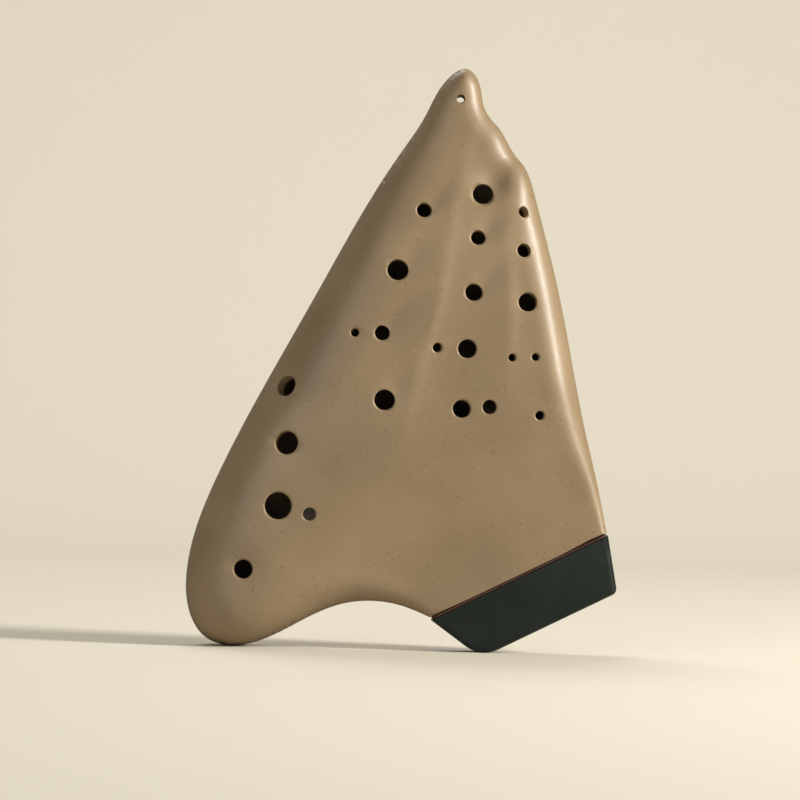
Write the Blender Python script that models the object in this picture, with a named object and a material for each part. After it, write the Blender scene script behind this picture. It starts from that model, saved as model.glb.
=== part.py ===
"""Triple ocarina: a clay vessel flute with three chambers, seen upright as it stands on its bulb and mouthpiece.

Every size below is in millimetres. x runs to the right as the player's holes are looked at, z runs up, and the
finger holes face -y. The two clay halves meet at the parting plane, where depth is 0; a point's depth is how far
it lies in front of or behind that plane.
"""

import math

import bmesh
import bpy
import numpy as np
from mathutils import Matrix, Vector
from mathutils.geometry import delaunay_2d_cdt

MM = 0.001

# Clay and clearances
WALL = 4.5                 # thickness of the pressed clay
SEAM_GAP = 0.3             # between two pieces that touch
INSIDE_GAP = 0.7           # between the shells' curved insides and what is set into them
PARTITION = 3.0            # thickness of the walls between chambers

# Depth of each half at its crown, at the tip and where the mouthpiece joins
FRONT_CROWN = 20.0
FRONT_TIP = 8.5
FRONT_JOINT = 9.0
FRONT_JOINT_FLAT = 2.0     # how far from the joint the front keeps its depth
BACK_CROWN = 16.0
BACK_TIP = 7.5
BACK_JOINT = 9.0
BACK_JOINT_FLAT = 27.0     # the back stays flat here, for the windows
JOINT_TAPER = 62.0         # length over which the joint's depth grows to the crown
TIP_TAPER = 105.0          # the same from the tip

# Outline of the clay: x, z, radius of the edge there, height of the upright band at the parting plane
OUTLINE = [
    (75.5, 45.4, 3.0, 6.0),
    (71.7, 63.0, 5.0, 4.5),
    (66.7, 82.9, 9.0, 2.0),
    (61.8, 105.2, 11.0, 1.2),
    (55.4, 134.6, 11.0, 1.0),
    (51.0, 151.2, 10.5, 1.0),
    (47.3, 164.2, 10.0, 1.0),
    (45.0, 172.2, 9.5, 1.0),
    (41.2, 180.6, 9.0, 1.0),
    (38.2, 184.0, 9.0, 1.0),
    (35.5, 188.1, 9.0, 1.0),
    (32.1, 193.7, 9.0, 1.0),
    (28.2, 198.0, 9.0, 1.0),
    (26.2, 201.6, 9.0, 1.0),
    (25.2, 206.0, 9.0, 1.0),
    (23.9, 211.0, 9.0, 1.0),
    (19.3, 215.6, 9.0, 1.0),
    (13.8, 213.0, 9.5, 1.0),
    (4.6, 197.9, 13.0, 1.0),
    (-4.5, 183.4, 17.0, 1.0),
    (-33.9, 131.1, 26.0, 1.0),
    (-52.7, 95.8, 28.0, 1.0),
    (-69.1, 62.1, 28.0, 1.0),
    (-75.8, 44.6, 27.0, 1.0),
    (-79.3, 27.0, 25.0, 1.0),
    (-77.9, 12.0, 22.0, 1.0),
    (-72.0, 3.0, 20.0, 1.0),
    (-63.4, 0.0, 18.0, 1.0),
    (-52.5, 1.7, 17.0, 1.0),
    (-36.1, 10.0, 15.0, 1.5),
    (-21.0, 16.6, 12.0, 2.5),
    (-10.5, 17.9, 9.0, 3.5),
    (0.0, 16.6, 6.0, 4.5),
    (11.1, 12.5, 3.0, 6.0),
]
OUTLINE_STEP = 4.5         # spacing of the outline's points
EDGE_RINGS = [(0.03, 1.0), (0.14, 1.0), (0.36, 1.15), (0.68, 1.4)]  # share of the edge's radius, wider spacing
GRID = 7.5                 # spacing of the points on the flatter clay
BORE_SIDES = 1.6           # facets per millimetre of a bore's radius
BORE_DEPTH = 9.0
EDGE_POWER = 2.3           # how full the rounded edge is
LIP = 0.8                  # least depth of a surface beside the parting plane
HOLLOW_PAST = 2.3          # how far the hollow is cut past the joint face

# Crests where the next chamber's surface steps down, as lines from the tip to where they fade out
CREST_LOW_MID = [(25.5, 200.5), (21.3, 189.2), (18.0, 174.3), (15.4, 158.7), (12.9, 140.9),
                 (10.1, 123.4), (6.3, 111.1), (3.0, 98.1), (0.1, 81.3), (-2.1, 64.0)]
CREST_MID_HIGH = [(37.6, 184.5), (36.2, 171.1), (35.9, 156.3), (37.1, 137.8),
                  (38.0, 119.3), (38.0, 104.5), (37.6, 86.0)]
CREST_DROP = 2.0           # how far the surface steps down
CREST_REACH = 5.0          # how wide the step is
CREST_FADE = 45.0          # length over which it fades at its lower end
CREST_STEP = 2.0           # spacing of its line's points

# Walls between the chambers, from the far end down to the air ways, and the share of the joint line they end at
WALL_LOW_MID = [(26.5, 203.5), (21.5, 181.8), (16.9, 159.5), (13.7, 140.9), (10.4, 126.0), (6.3, 112.9),
                (2.3, 98.0), (0.1, 83.2), (1.0, 67.0), (10.0, 52.0)]
WALL_LOW_MID_END = 0.365
WALL_MID_HIGH = [(36.8, 186.0), (35.6, 167.4), (36.4, 148.9), (36.9, 130.4), (34.8, 111.9), (35.4, 90.8),
                 (38.3, 76.0)]
WALL_MID_HIGH_END = 0.722

# Finger holes of each chamber: x, z, diameter, kind of seat around the hole
FINGER_HOLES = {
    "low": [
        (5.0, 162.5, 5.4, "right hand"),
        (-4.1, 140.2, 7.7, "right hand"),
        (-9.2, 116.8, 5.4, "right hand"),
        (-19.3, 116.7, 3.0, "plain"),
        (-7.7, 92.3, 7.5, "right hand"),
        (-44.1, 96.6, 7.8, "left hand"),
        (-43.2, 75.7, 8.5, "left hand"),
        (-45.7, 52.5, 9.9, "left hand"),
        (-34.1, 49.7, 4.7, "plain"),
        (-57.9, 29.0, 6.9, "left hand"),
    ],
    "mid": [
        (26.5, 169.1, 7.6, "right end"),
        (25.1, 152.9, 5.3, "right hand"),
        (24.0, 132.7, 6.3, "right hand"),
        (11.2, 111.9, 3.4, "plain"),
        (22.1, 111.8, 6.8, "plain"),
        (20.6, 89.8, 6.5, "plain"),
        (30.8, 90.7, 5.1, "plain"),
    ],
    "high": [
        (41.7, 162.8, 3.9, "small right"),
        (42.1, 148.6, 5.0, "small right"),
        (43.9, 129.6, 6.8, "plain"),
        (38.7, 109.0, 2.8, "plain"),
        (47.2, 109.5, 2.7, "plain"),
        (49.4, 88.0, 3.3, "plain"),
    ],
}
THUMB_HOLES = {
    "low": [(-56.6, 57.6, 9.0), (-12.9, 109.8, 8.0)],
    "mid": [(20.1, 121.8, 6.5)],
    "high": [(46.1, 119.6, 5.0)],
}
RIM_FLARE = 0.6            # how far each hole's rim is rounded off
CORD_HOLE = (17.4, 204.1)
CORD_HOLE_DIAMETER = 2.9
TIP_SOLID = 12.0           # solid clay below the cord hole

# Finger seats: direction in degrees above x, depth, length, extra width beyond the hole's radius
SEATS = {
    "right hand": (46.0, 1.1, 11.0, 1.0),
    "right end": (51.0, 3.2, 17.0, 2.0),
    "small right": (46.0, 0.6, 6.0, 0.8),
    "left hand": (0.0, 0.6, 0.0, 3.0),
}

# Mouthpiece: a tapered block on the joint line, which runs between the outline's two ends
MOUTH_LENGTH = 20.5        # from the cement to the blowing face
MOUTH_LEFT_INSET = 10.6    # how far its left side leans in over that length
MOUTH_RIGHT_INSET = 6.0
MOUTH_LEFT_CORNER = 12.0   # radii of the corners of its blowing end
MOUTH_RIGHT_CORNER = 2.5
MOUTH_FRONT_END = 7.0      # depth in front of and behind the parting plane at the blowing face
MOUTH_BACK_END = 7.5
MOUTH_EDGE = 2.2           # rounding of the long edges
CEMENT = 0.6

# Air ways: share of the joint line where each is centred, width, window length
AIR_WAYS = {
    "low": (0.215, 12.5, 6.0),
    "mid": (0.545, 12.0, 5.2),
    "high": (0.840, 9.0, 4.4),
}
SLOT_MARGIN_LEFT = 18.0    # the blowing face's flat stretch, counted from the joint's two ends
SLOT_MARGIN_RIGHT = 8.5
SLOT_HEIGHT = 2.4          # height of a slot at the blowing face
EXIT_HEIGHT = 1.1          # height of the air way inside the clay
WINDOW_SIDE = 0.2          # how much wider the window is than its air way, on each side
WINDWAY_LENGTH = 16.0      # length of the air way inside the clay
BLOCK_FOOT = 8.5           # how far from the joint line's left end the first block starts
LABIUM = 0.35              # thickness of the labium's edge
LABIUM_SLOPE = 19.0        # degrees

CLAY_COLOUR = (0.35, 0.26, 0.145)
DARK_CLAY_COLOUR = (0.16, 0.11, 0.06)
BLACK_COLOUR = (0.008, 0.012, 0.010)
CEMENT_COLOUR = (0.06, 0.02, 0.012)


# Curves

def smooth_curve(knots, step):
    """Natural cubic spline through the knots, whose further columns vary with it, sampled about every step."""
    knots = np.array(knots, float)
    chord = np.hypot(*np.diff(knots[:, :2], axis=0).T)
    at = np.concatenate([[0.0], np.cumsum(chord)])
    count = len(knots)
    system = np.eye(count)
    right = np.zeros_like(knots)
    for i in range(1, count - 1):
        before, after = chord[i - 1], chord[i]
        system[i, i - 1:i + 2] = before, 2 * (before + after), after
        right[i] = 6 * ((knots[i + 1] - knots[i]) / after - (knots[i] - knots[i - 1]) / before)
    bend = np.linalg.solve(system, right)
    samples = np.linspace(0.0, at[-1], max(2, int(round(at[-1] / step)) + 1))
    span = np.clip(np.searchsorted(at, samples, side="right") - 1, 0, count - 2)
    length = chord[span][:, None]
    t = (samples - at[span])[:, None] / length
    s = 1 - t
    curved = (s ** 3 - s) * bend[span] + (t ** 3 - t) * bend[span + 1]
    return s * knots[span] + t * knots[span + 1] + curved * length ** 2 / 6


def smoothstep(value):
    value = np.clip(value, 0.0, 1.0)
    return value * value * (3 - 2 * value)


def across(direction):
    """The plan direction 90 degrees anticlockwise of this one."""
    return np.array([-direction[1], direction[0]])


OUTLINE_CURVE = smooth_curve(OUTLINE, 1.0)
JOINT_RIGHT = OUTLINE_CURVE[0, :2]
JOINT_LEFT = OUTLINE_CURVE[-1, :2]
JOINT_LENGTH = float(np.hypot(*(JOINT_RIGHT - JOINT_LEFT)))
ALONG = (JOINT_RIGHT - JOINT_LEFT) / JOINT_LENGTH
INWARD = across(ALONG)
TIP = OUTLINE_CURVE[np.argmax(OUTLINE_CURVE[:, 1]), :2]


def at_joint(along, inward):
    """Plan point at a distance along the joint line and into the body; negative is out, towards the lips."""
    return JOINT_LEFT + ALONG * along + INWARD * inward


# Shape of the two halves

def from_joint(points):
    """Distance from the joint line's own stretch."""
    away = points - JOINT_LEFT
    along = np.clip(away @ ALONG, 0.0, JOINT_LENGTH)
    return np.hypot(*(away - along[:, None] * ALONG).T)


def crown(points, top, tip, joint, flat):
    """Depth of a half before its edges are rounded."""
    near_joint = 1 - smoothstep((from_joint(points) - flat) / JOINT_TAPER)
    near_tip = 1 - smoothstep(np.hypot(*(points - TIP).T) / TIP_TAPER)
    return top - (top - joint) * near_joint - (top - tip) * near_tip


def gaps(points, marks):
    """Distance from each point to each mark, as a table."""
    return np.hypot(points[:, None, 0] - marks[None, :, 0], points[:, None, 1] - marks[None, :, 1])


def edge_share(points, inset=0.0):
    """How far in each point lies, as a share of the edge's radius, and the outline's point that it lies nearest."""
    share = np.maximum(gaps(points, OUTLINE_CURVE) - inset, 0.0) / edge_radius(OUTLINE_CURVE, inset)
    return share.min(axis=1), share.argmin(axis=1)


def edge_radius(curve, inset):
    return np.maximum(curve[:, 2] - inset, 1.0)


def crest_drop(points, line):
    """Share of the full step at each point: 0 to the left of the crest, growing to 1 on its right."""
    curve = smooth_curve(line, CREST_STEP)
    gap = gaps(points, curve)
    nearest = gap.argmin(axis=1)
    run = np.gradient(curve, axis=0)
    away = points - curve[nearest]
    side = run[nearest, 0] * away[:, 1] - run[nearest, 1] * away[:, 0]
    right = np.where(side > 0, gap[np.arange(len(points)), nearest], 0.0)
    left_to_go = CREST_STEP * (len(curve) - 1 - nearest)
    return (1 - np.exp(-right / CREST_REACH)) * smoothstep(left_to_go / CREST_FADE)


def front_base(points):
    """Depth of the front's rounded top with the crests, before edges and seats."""
    steps = crest_drop(points, CREST_LOW_MID) + crest_drop(points, CREST_MID_HIGH)
    top = crown(points, FRONT_CROWN, FRONT_TIP, FRONT_JOINT, FRONT_JOINT_FLAT)
    return top - CREST_DROP * steps * top / FRONT_CROWN


def back_base(points):
    return crown(points, BACK_CROWN, BACK_TIP, BACK_JOINT, BACK_JOINT_FLAT)


def rounded(points, base, inset=0.0):
    """The base depth with its edges rounded over, for the skin or for a surface inset into the clay."""
    share, nearest = edge_share(points, inset)
    rise = np.sqrt(1 - (1 - np.minimum(share, 1.0)) ** EDGE_POWER)
    top = base(points) - inset
    band = np.maximum(OUTLINE_CURVE[nearest, 3] - inset, LIP)
    return np.maximum(band + (top - band) * rise, LIP)


def seat_depth(points, x, z, diameter, kind):
    """How deep one hole's finger seat is cut at each point."""
    angle, depth, length, extra = SEATS[kind]
    radius = diameter / 2 + extra
    heading = np.array([math.cos(math.radians(angle)), math.sin(math.radians(angle))])
    away = points - (x, z)
    if length == 0.0:
        return depth * np.exp(-(away ** 2).sum(axis=1) / radius ** 2)
    ahead = away @ heading
    aside = away @ across(heading)
    start = smoothstep((ahead + radius) / (2.2 * radius + 1.5))
    tail = np.exp(-np.clip(ahead - diameter / 2, 0.0, None) ** 2 / length ** 2)
    return depth * start * tail * np.exp(-aside ** 2 / radius ** 2)


def front_skin(points):
    depth = rounded(points, front_base)
    cut = np.zeros(len(points))
    for holes in FINGER_HOLES.values():
        for x, z, diameter, kind in holes:
            if kind in SEATS:
                cut = np.maximum(cut, seat_depth(points, x, z, diameter, kind))
    return np.maximum(depth - cut, LIP)


def back_skin(points):
    return rounded(points, back_base)


# Plan meshes

def inside(points, loop):
    """Which points lie inside a closed plan loop."""
    found = np.zeros(len(points), bool)
    for (x0, z0), (x1, z1) in zip(loop, np.roll(loop, -1, axis=0)):
        if z0 != z1:
            crosses = (points[:, 1] < z0) != (points[:, 1] < z1)
            found ^= crosses & (points[:, 0] < x0 + (points[:, 1] - z0) * (x1 - x0) / (z1 - z0))
    return found


def ring(share, step, inset=0.0):
    """The outline moved in by the inset and by a share of what is left of the edge's radius."""
    line = smooth_curve(OUTLINE, step)
    run = np.gradient(line[:, :2], axis=0)
    run /= np.hypot(*run.T)[:, None]
    distance = inset + share * edge_radius(line, inset)
    moved = line[:, :2] + np.column_stack([-run[:, 1], run[:, 0]]) * distance[:, None]
    clear = (edge_share(moved, inset)[0] > share - 0.02) & (gaps(moved, OUTLINE_CURVE).min(axis=1) > inset - 0.05)
    return moved[clear]


def staggered(low, high, spacing):
    """Points in rows, each row half a space along from the last."""
    rows = []
    for row, z in enumerate(np.arange(low[1], high[1], spacing * math.sqrt(0.75))):
        x = np.arange(low[0] + spacing * (row % 2) / 2, high[0], spacing)
        rows.append(np.column_stack([x, np.full(len(x), z)]))
    return np.concatenate(rows)


def round_points(x, z, radii, count):
    """Points on circles round a hole, and its centre."""
    turns = np.arange(count) * 2 * math.pi / count
    circles = [np.column_stack([x + r * np.cos(turns), z + r * np.sin(turns)]) for r in radii]
    return np.concatenate([[(x, z)]] + circles)


def thinned(points, kept, spacing):
    """The points that lie further than the spacing from those already kept."""
    return points[gaps(points, kept).min(axis=1) > spacing]


def triangles(loop, extra):
    """Delaunay triangles of the loop's inside, with the extra points among them."""
    extra = extra[inside(extra, loop)] if len(extra) else extra
    points = [Vector(point) for point in loop] + [Vector(point) for point in extra]
    sides = [(i, (i + 1) % len(loop)) for i in range(len(loop))]
    result = delaunay_2d_cdt(points, sides, [], 0, 1e-5)
    plan = np.array([tuple(point) for point in result[0]])
    faces = np.array([tuple(face) for face in result[2]])
    return plan, faces[inside(plan[faces].mean(axis=1), loop)]


def pillow(name, loop, extra, front, back, material=None):
    """A closed solid over a plan loop, from its front surface to its back surface, both given as depths."""
    plan, faces = triangles(np.array(loop), np.array(extra))
    count = len(plan)
    ahead = np.column_stack([plan[:, 0], -front(plan), plan[:, 1]])
    behind = np.column_stack([plan[:, 0], back(plan), plan[:, 1]])
    mesh = bmesh.new()
    points = [mesh.verts.new(Vector(point) * MM) for point in np.concatenate([ahead, behind])]
    mesh.verts.index_update()
    for a, b, c in faces.tolist():
        mesh.faces.new((points[a], points[b], points[c]))
        mesh.faces.new((points[count + c], points[count + b], points[count + a]))
    for side in [side for side in mesh.edges if side.is_boundary]:
        a, b = (vert.index for vert in side.verts)
        if a < count and b < count:
            mesh.faces.new((points[a], points[b], points[count + b], points[count + a]))
    bmesh.ops.delete(mesh, geom=[vert for vert in mesh.verts if not vert.link_faces], context="VERTS")
    bmesh.ops.recalc_face_normals(mesh, faces=mesh.faces)
    return to_object(name, mesh, material)


def to_object(name, mesh, material=None):
    data = bpy.data.meshes.new(name)
    mesh.to_mesh(data)
    mesh.free()
    if material:
        data.materials.append(material)
    data.shade_smooth()
    data.set_sharp_from_angle(angle=math.radians(35))
    shape = bpy.data.objects.new(name, data)
    bpy.context.scene.collection.objects.link(shape)
    return shape


def helper(shape):
    """Marks a shape that only cuts others."""
    shape.hide_render = True
    shape.display_type = "WIRE"
    return shape


def combine(shape, other, operation="DIFFERENCE"):
    boolean = shape.modifiers.new(other.name, "BOOLEAN")
    boolean.operation = operation
    boolean.object = other
    boolean.solver = "EXACT"
    return shape


def level(depth):
    """A flat surface at one depth."""
    return lambda points: np.full(len(points), float(depth))


# Round bores

def outward(x, z, surface, side):
    """The way out of the clay at a plan point, for the front (side -1) or the back (side 1)."""
    near = np.array([(x + 1, z), (x - 1, z), (x, z + 1), (x, z - 1)], float)
    right, left, up, down = surface(near)
    return Vector(((left - right) / 2, side, (down - up) / 2)).normalized()


def add_bore(mesh, x, z, diameter, surface, skin, side, depth):
    """A bore square to the clay's surface, with its rim flared."""
    radius = diameter / 2
    way = outward(x, z, surface, side)
    mouth = Vector((x, side * float(skin(np.array([(x, z)]))[0]), z))
    profile = [(radius, -depth), (radius, -RIM_FLARE), (radius + RIM_FLARE, 0.0), (radius + 3 * RIM_FLARE, 3.0)]
    turn = way.to_track_quat("Z", "Y").to_matrix().to_4x4()
    place = Matrix.Translation(mouth * MM) @ turn
    count = max(12, 2 * round(radius * BORE_SIDES / 2 + 3))
    rings = []
    for r, along in profile:
        ring_points = []
        for i in range(count):
            angle = 2 * math.pi * i / count
            local = Vector((r * math.cos(angle), r * math.sin(angle), along)) * MM
            ring_points.append(mesh.verts.new(place @ local))
        rings.append(ring_points)
    for lower, upper in zip(rings, rings[1:]):
        for i in range(count):
            j = (i + 1) % count
            mesh.faces.new((lower[i], lower[j], upper[j], upper[i]))
    mesh.faces.new(reversed(rings[0]))
    mesh.faces.new(rings[-1])


def front_bores():
    mesh = bmesh.new()
    for holes in FINGER_HOLES.values():
        for x, z, diameter, _ in holes:
            add_bore(mesh, x, z, diameter, front_surface, front_skin, -1, BORE_DEPTH)
    add_bore(mesh, *CORD_HOLE, CORD_HOLE_DIAMETER, level(0), front_skin, -1, FRONT_CROWN)
    return helper(to_object("front_bores", mesh))


def back_bores():
    mesh = bmesh.new()
    for holes in THUMB_HOLES.values():
        for x, z, diameter in holes:
            add_bore(mesh, x, z, diameter, back_skin, back_skin, 1, BORE_DEPTH)
    add_bore(mesh, *CORD_HOLE, CORD_HOLE_DIAMETER, level(0), back_skin, 1, BACK_CROWN)
    return helper(to_object("back_bores", mesh))


# Air ways and labium edges

MOUTH_JOINT = -(2 * SEAM_GAP + CEMENT)
MOUTH_END = MOUTH_JOINT - MOUTH_LENGTH
FLOOR_DEPTH = BACK_JOINT - WALL - INSIDE_GAP
SLOT_DEPTH = (MOUTH_BACK_END - MOUTH_FRONT_END) / 2


def section(along, inward, width, low, high):
    """Four corners of a rectangle across the blowing direction."""
    left = at_joint(along - width / 2, inward)
    right = at_joint(along + width / 2, inward)
    return [(left[0], low, left[1]), (right[0], low, right[1]), (right[0], high, right[1]), (left[0], high, left[1])]


def end_along(share):
    """Where a share of the blowing face's flat stretch lies along the joint line."""
    return SLOT_MARGIN_LEFT + share * (JOINT_LENGTH - SLOT_MARGIN_LEFT - SLOT_MARGIN_RIGHT)


def air_way_cutter(name):
    """One chamber's duct: it narrows through the mouthpiece, then runs level under the clay up to its window."""
    share, width, window = AIR_WAYS[name]
    past = 2.0
    roof = FLOOR_DEPTH + EXIT_HEIGHT
    sections = [
        section(end_along(share), MOUTH_END - past, width,
                SLOT_DEPTH - SLOT_HEIGHT / 2, SLOT_DEPTH + SLOT_HEIGHT / 2),
        section(share * JOINT_LENGTH, MOUTH_JOINT / 2, width, FLOOR_DEPTH, roof),
        section(share * JOINT_LENGTH, WINDWAY_LENGTH + window / 2, width, FLOOR_DEPTH, roof),
    ]
    mesh = bmesh.new()
    rings = [[mesh.verts.new(Vector(corner) * MM) for corner in corners] for corners in sections]
    mesh.faces.new(rings[0])
    mesh.faces.new(reversed(rings[-1]))
    for near, far in zip(rings, rings[1:]):
        for i in range(4):
            j = (i + 1) % 4
            mesh.faces.new((near[i], near[j], far[j], far[i]))
    bmesh.ops.recalc_face_normals(mesh, faces=mesh.faces)
    return helper(to_object(f"air_way_{name}_cutter", mesh))


def window_cutter(name):
    """The window behind the air way's exit and the slope that rises from the labium's edge to the clay's skin."""
    share, width, window = AIR_WAYS[name]
    edge_depth = BACK_JOINT - WALL + LABIUM
    slope = math.tan(math.radians(LABIUM_SLOPE))
    above = BACK_CROWN + 4.0
    below = FLOOR_DEPTH - EXIT_HEIGHT
    start = WINDWAY_LENGTH
    profile = [(start, below), (start + window, below), (start + window, edge_depth),
               (start + window + (above - edge_depth) / slope, above), (start, above)]
    mesh = bmesh.new()
    sides = []
    for half_width in (-width / 2 - WINDOW_SIDE, width / 2 + WINDOW_SIDE):
        along = share * JOINT_LENGTH + half_width
        points = []
        for inward, depth in profile:
            x, z = at_joint(along, inward)
            points.append(mesh.verts.new(Vector((x, depth, z)) * MM))
        sides.append(points)
    mesh.faces.new(sides[0])
    mesh.faces.new(reversed(sides[1]))
    for i in range(len(profile)):
        j = (i + 1) % len(profile)
        mesh.faces.new((sides[0][i], sides[0][j], sides[1][j], sides[1][i]))
    bmesh.ops.recalc_face_normals(mesh, faces=mesh.faces)
    return helper(to_object(f"window_{name}_cutter", mesh))


# Clay shells

def skin_loop():
    return smooth_curve(OUTLINE, OUTLINE_STEP)[:, :2]


def skin_points(holes):
    """Points for a shell's skin: close rings round the edge, rings round the holes and a coarse grid between."""
    loop = skin_loop()
    kept = np.concatenate([ring(share, OUTLINE_STEP * wider) for share, wider in EDGE_RINGS])
    around = np.concatenate([round_points(x, z, [d / 2 + 1.0, d / 2 + 4.0], 8) for x, z, d in holes])
    kept = np.concatenate([kept[gaps(kept, around).min(axis=1) > 1.5], around])
    grid = staggered(loop.min(axis=0), loop.max(axis=0), GRID)
    grid = grid[edge_share(grid)[0] > 0.85]
    return np.concatenate([kept, thinned(grid, np.concatenate([kept, loop]), GRID * 0.6)])


def hollow_loop(inset, joint_end):
    """Border of the inside: the outline moved in, closed before the solid tip and across the joint."""
    line = ring(0.0, OUTLINE_STEP * 1.2, inset)
    line = line[line[:, 1] < CORD_HOLE[1] - TIP_SOLID - (inset - WALL)]
    line = line[(line - JOINT_LEFT) @ INWARD > 1.5]
    ends = []
    for end, before in ((line[-1], line[-2]), (line[0], line[1])):
        slope = (end - before) / ((end - before) @ INWARD)
        ends.append(end + slope * (joint_end - (end - JOINT_LEFT) @ INWARD))
    return np.concatenate([line, ends])


def hollow(name, inset, joint_end):
    """The inside of the instrument as one solid, which hollows the shells or trims what fits in them."""
    loop = hollow_loop(inset, joint_end)
    rings = np.concatenate([ring(share, OUTLINE_STEP * 1.8, WALL + SEAM_GAP) for share in (0.12, 0.5)])
    grid = staggered(OUTLINE_CURVE[:, :2].min(axis=0), OUTLINE_CURVE[:, :2].max(axis=0), GRID * 1.3)
    grid = grid[edge_share(grid, WALL)[0] > 0.9]
    extra = np.concatenate([rings, thinned(grid, rings, GRID * 0.65)])
    extra = thinned(extra[inside(extra, loop)], loop, 1.0)

    def front(points):
        return rounded(points, front_base, inset)

    def back(points):
        return rounded(points, back_base, inset)

    return helper(pillow(name, loop, extra, front, back))


def front_surface(points):
    return rounded(points, front_base)


def build_front_shell(inside_shape, clay):
    holes = [hole[:3] for group in FINGER_HOLES.values() for hole in group]
    shell = pillow("front_shell", skin_loop(), skin_points(holes), front_skin, level(-SEAM_GAP / 2), clay)
    combine(shell, inside_shape)
    return combine(shell, front_bores())


def build_back_shell(inside_shape, ducts, windows, clay):
    holes = [hole for group in THUMB_HOLES.values() for hole in group]
    shell = pillow("back_shell", skin_loop(), skin_points(holes), level(-SEAM_GAP / 2), back_skin, clay)
    combine(shell, inside_shape)
    combine(shell, back_bores())
    for cutter in ducts + windows:
        combine(shell, cutter)
    return shell


# Inner walls

def wall_line(line, share):
    """A partition's line, brought square to the joint where it runs between two air ways."""
    foot = [tuple(at_joint(share * JOINT_LENGTH, inward)) for inward in (WINDWAY_LENGTH + 6.0, 10.0, -4.0)]
    return smooth_curve(line + foot, 3.0)


def strip(name, curve, width, reach, material=None):
    """A band of even width along a plan line, standing through the whole depth."""
    run = np.gradient(curve, axis=0)
    run /= np.hypot(*run.T)[:, None]
    side = np.column_stack([-run[:, 1], run[:, 0]]) * width / 2
    loop = np.concatenate([curve + side, (curve - side)[::-1]])
    return pillow(name, loop, np.empty((0, 2)), level(reach), level(reach), material)


def build_partition(name, line, share, room, clay):
    wall = strip(name, wall_line(line, share), PARTITION, FRONT_CROWN + BACK_CROWN, clay)
    return combine(wall, room, "INTERSECT")


def build_windway(name, left_share, right_share, room, walls, clay):
    """The block that closes a chamber's mouth end and is the floor of its air way."""
    left_foot = max(left_share * JOINT_LENGTH, BLOCK_FOOT)
    corners = [at_joint(left_foot, -SEAM_GAP), at_joint(right_share * JOINT_LENGTH, -SEAM_GAP),
               at_joint(right_share * JOINT_LENGTH, WINDWAY_LENGTH), at_joint(left_share * JOINT_LENGTH, WINDWAY_LENGTH)]
    reach = FRONT_CROWN + BACK_CROWN
    shape = pillow(f"windway_{name}", np.array(corners), np.empty((0, 2)), level(reach), level(reach), clay)
    combine(shape, room, "INTERSECT")
    for wall in walls:
        combine(shape, wall)
    return shape


# Mouthpiece

def corner_arc(before, corner, after, radius, count):
    """Points of the arc that rounds one corner of a plan outline."""
    corner = np.array(corner)
    to_before = (np.array(before) - corner) / np.hypot(*(np.array(before) - corner))
    to_after = (np.array(after) - corner) / np.hypot(*(np.array(after) - corner))
    half = math.acos(float(to_before @ to_after)) / 2
    middle = (to_before + to_after) / np.hypot(*(to_before + to_after))
    centre = corner + middle * radius / math.sin(half)
    start = corner + to_before * radius / math.tan(half) - centre
    end = corner + to_after * radius / math.tan(half) - centre
    sweep = math.pi - 2 * half
    steps = np.linspace(0, 1, count)[:, None]
    return centre + (start * np.sin((1 - steps) * sweep) + end * np.sin(steps * sweep)) / math.sin(sweep)


def rounded_block(name, loop, front, back, keep_sharp, radius, segments, material):
    """A plan loop raised to two flat faces, with its front and back edges rounded except where kept sharp."""
    shape = pillow(name, loop, np.empty((0, 2)), front, back)
    mesh = bmesh.new()
    mesh.from_mesh(shape.data)
    bpy.data.objects.remove(shape)
    bmesh.ops.dissolve_limit(mesh, angle_limit=math.radians(0.5), verts=mesh.verts, edges=mesh.edges)
    chosen = []
    for side in mesh.edges:
        a, b = (np.array((vert.co.x, vert.co.z)) / MM for vert in side.verts)
        lies_flat = np.hypot(*(a - b)) > 0.01
        if lies_flat and not (keep_sharp(a) and keep_sharp(b)):
            chosen.append(side)
    bmesh.ops.bevel(mesh, geom=chosen, offset=radius * MM, segments=segments, profile=0.5, affect="EDGES")
    return to_object(name, mesh, material)


def depth_between(at_start, at_end):
    """A depth that runs evenly from the mouthpiece's joint face to its blowing face."""
    def surface(points):
        inward = (points - JOINT_LEFT) @ INWARD
        return at_start + (at_end - at_start) * (inward - MOUTH_JOINT) / (MOUTH_END - MOUTH_JOINT)
    return surface


def build_mouthpiece(ducts, black):
    joint_left, joint_right = at_joint(0.0, MOUTH_JOINT), at_joint(JOINT_LENGTH, MOUTH_JOINT)
    end_left = at_joint(MOUTH_LEFT_INSET, MOUTH_END)
    end_right = at_joint(JOINT_LENGTH - MOUTH_RIGHT_INSET, MOUTH_END)
    loop = np.concatenate([
        [joint_left, joint_right],
        corner_arc(joint_right, end_right, end_left, MOUTH_RIGHT_CORNER, 5),
        corner_arc(end_right, end_left, joint_left, MOUTH_LEFT_CORNER, 7),
    ])

    def on_joint(point):
        return (point - JOINT_LEFT) @ INWARD > MOUTH_JOINT - 0.01

    shape = rounded_block("mouthpiece", loop, depth_between(FRONT_JOINT, MOUTH_FRONT_END),
                          depth_between(BACK_JOINT, MOUTH_BACK_END), on_joint, MOUTH_EDGE, 3, black)
    for duct in ducts:
        combine(shape, duct)
    return shape


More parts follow.
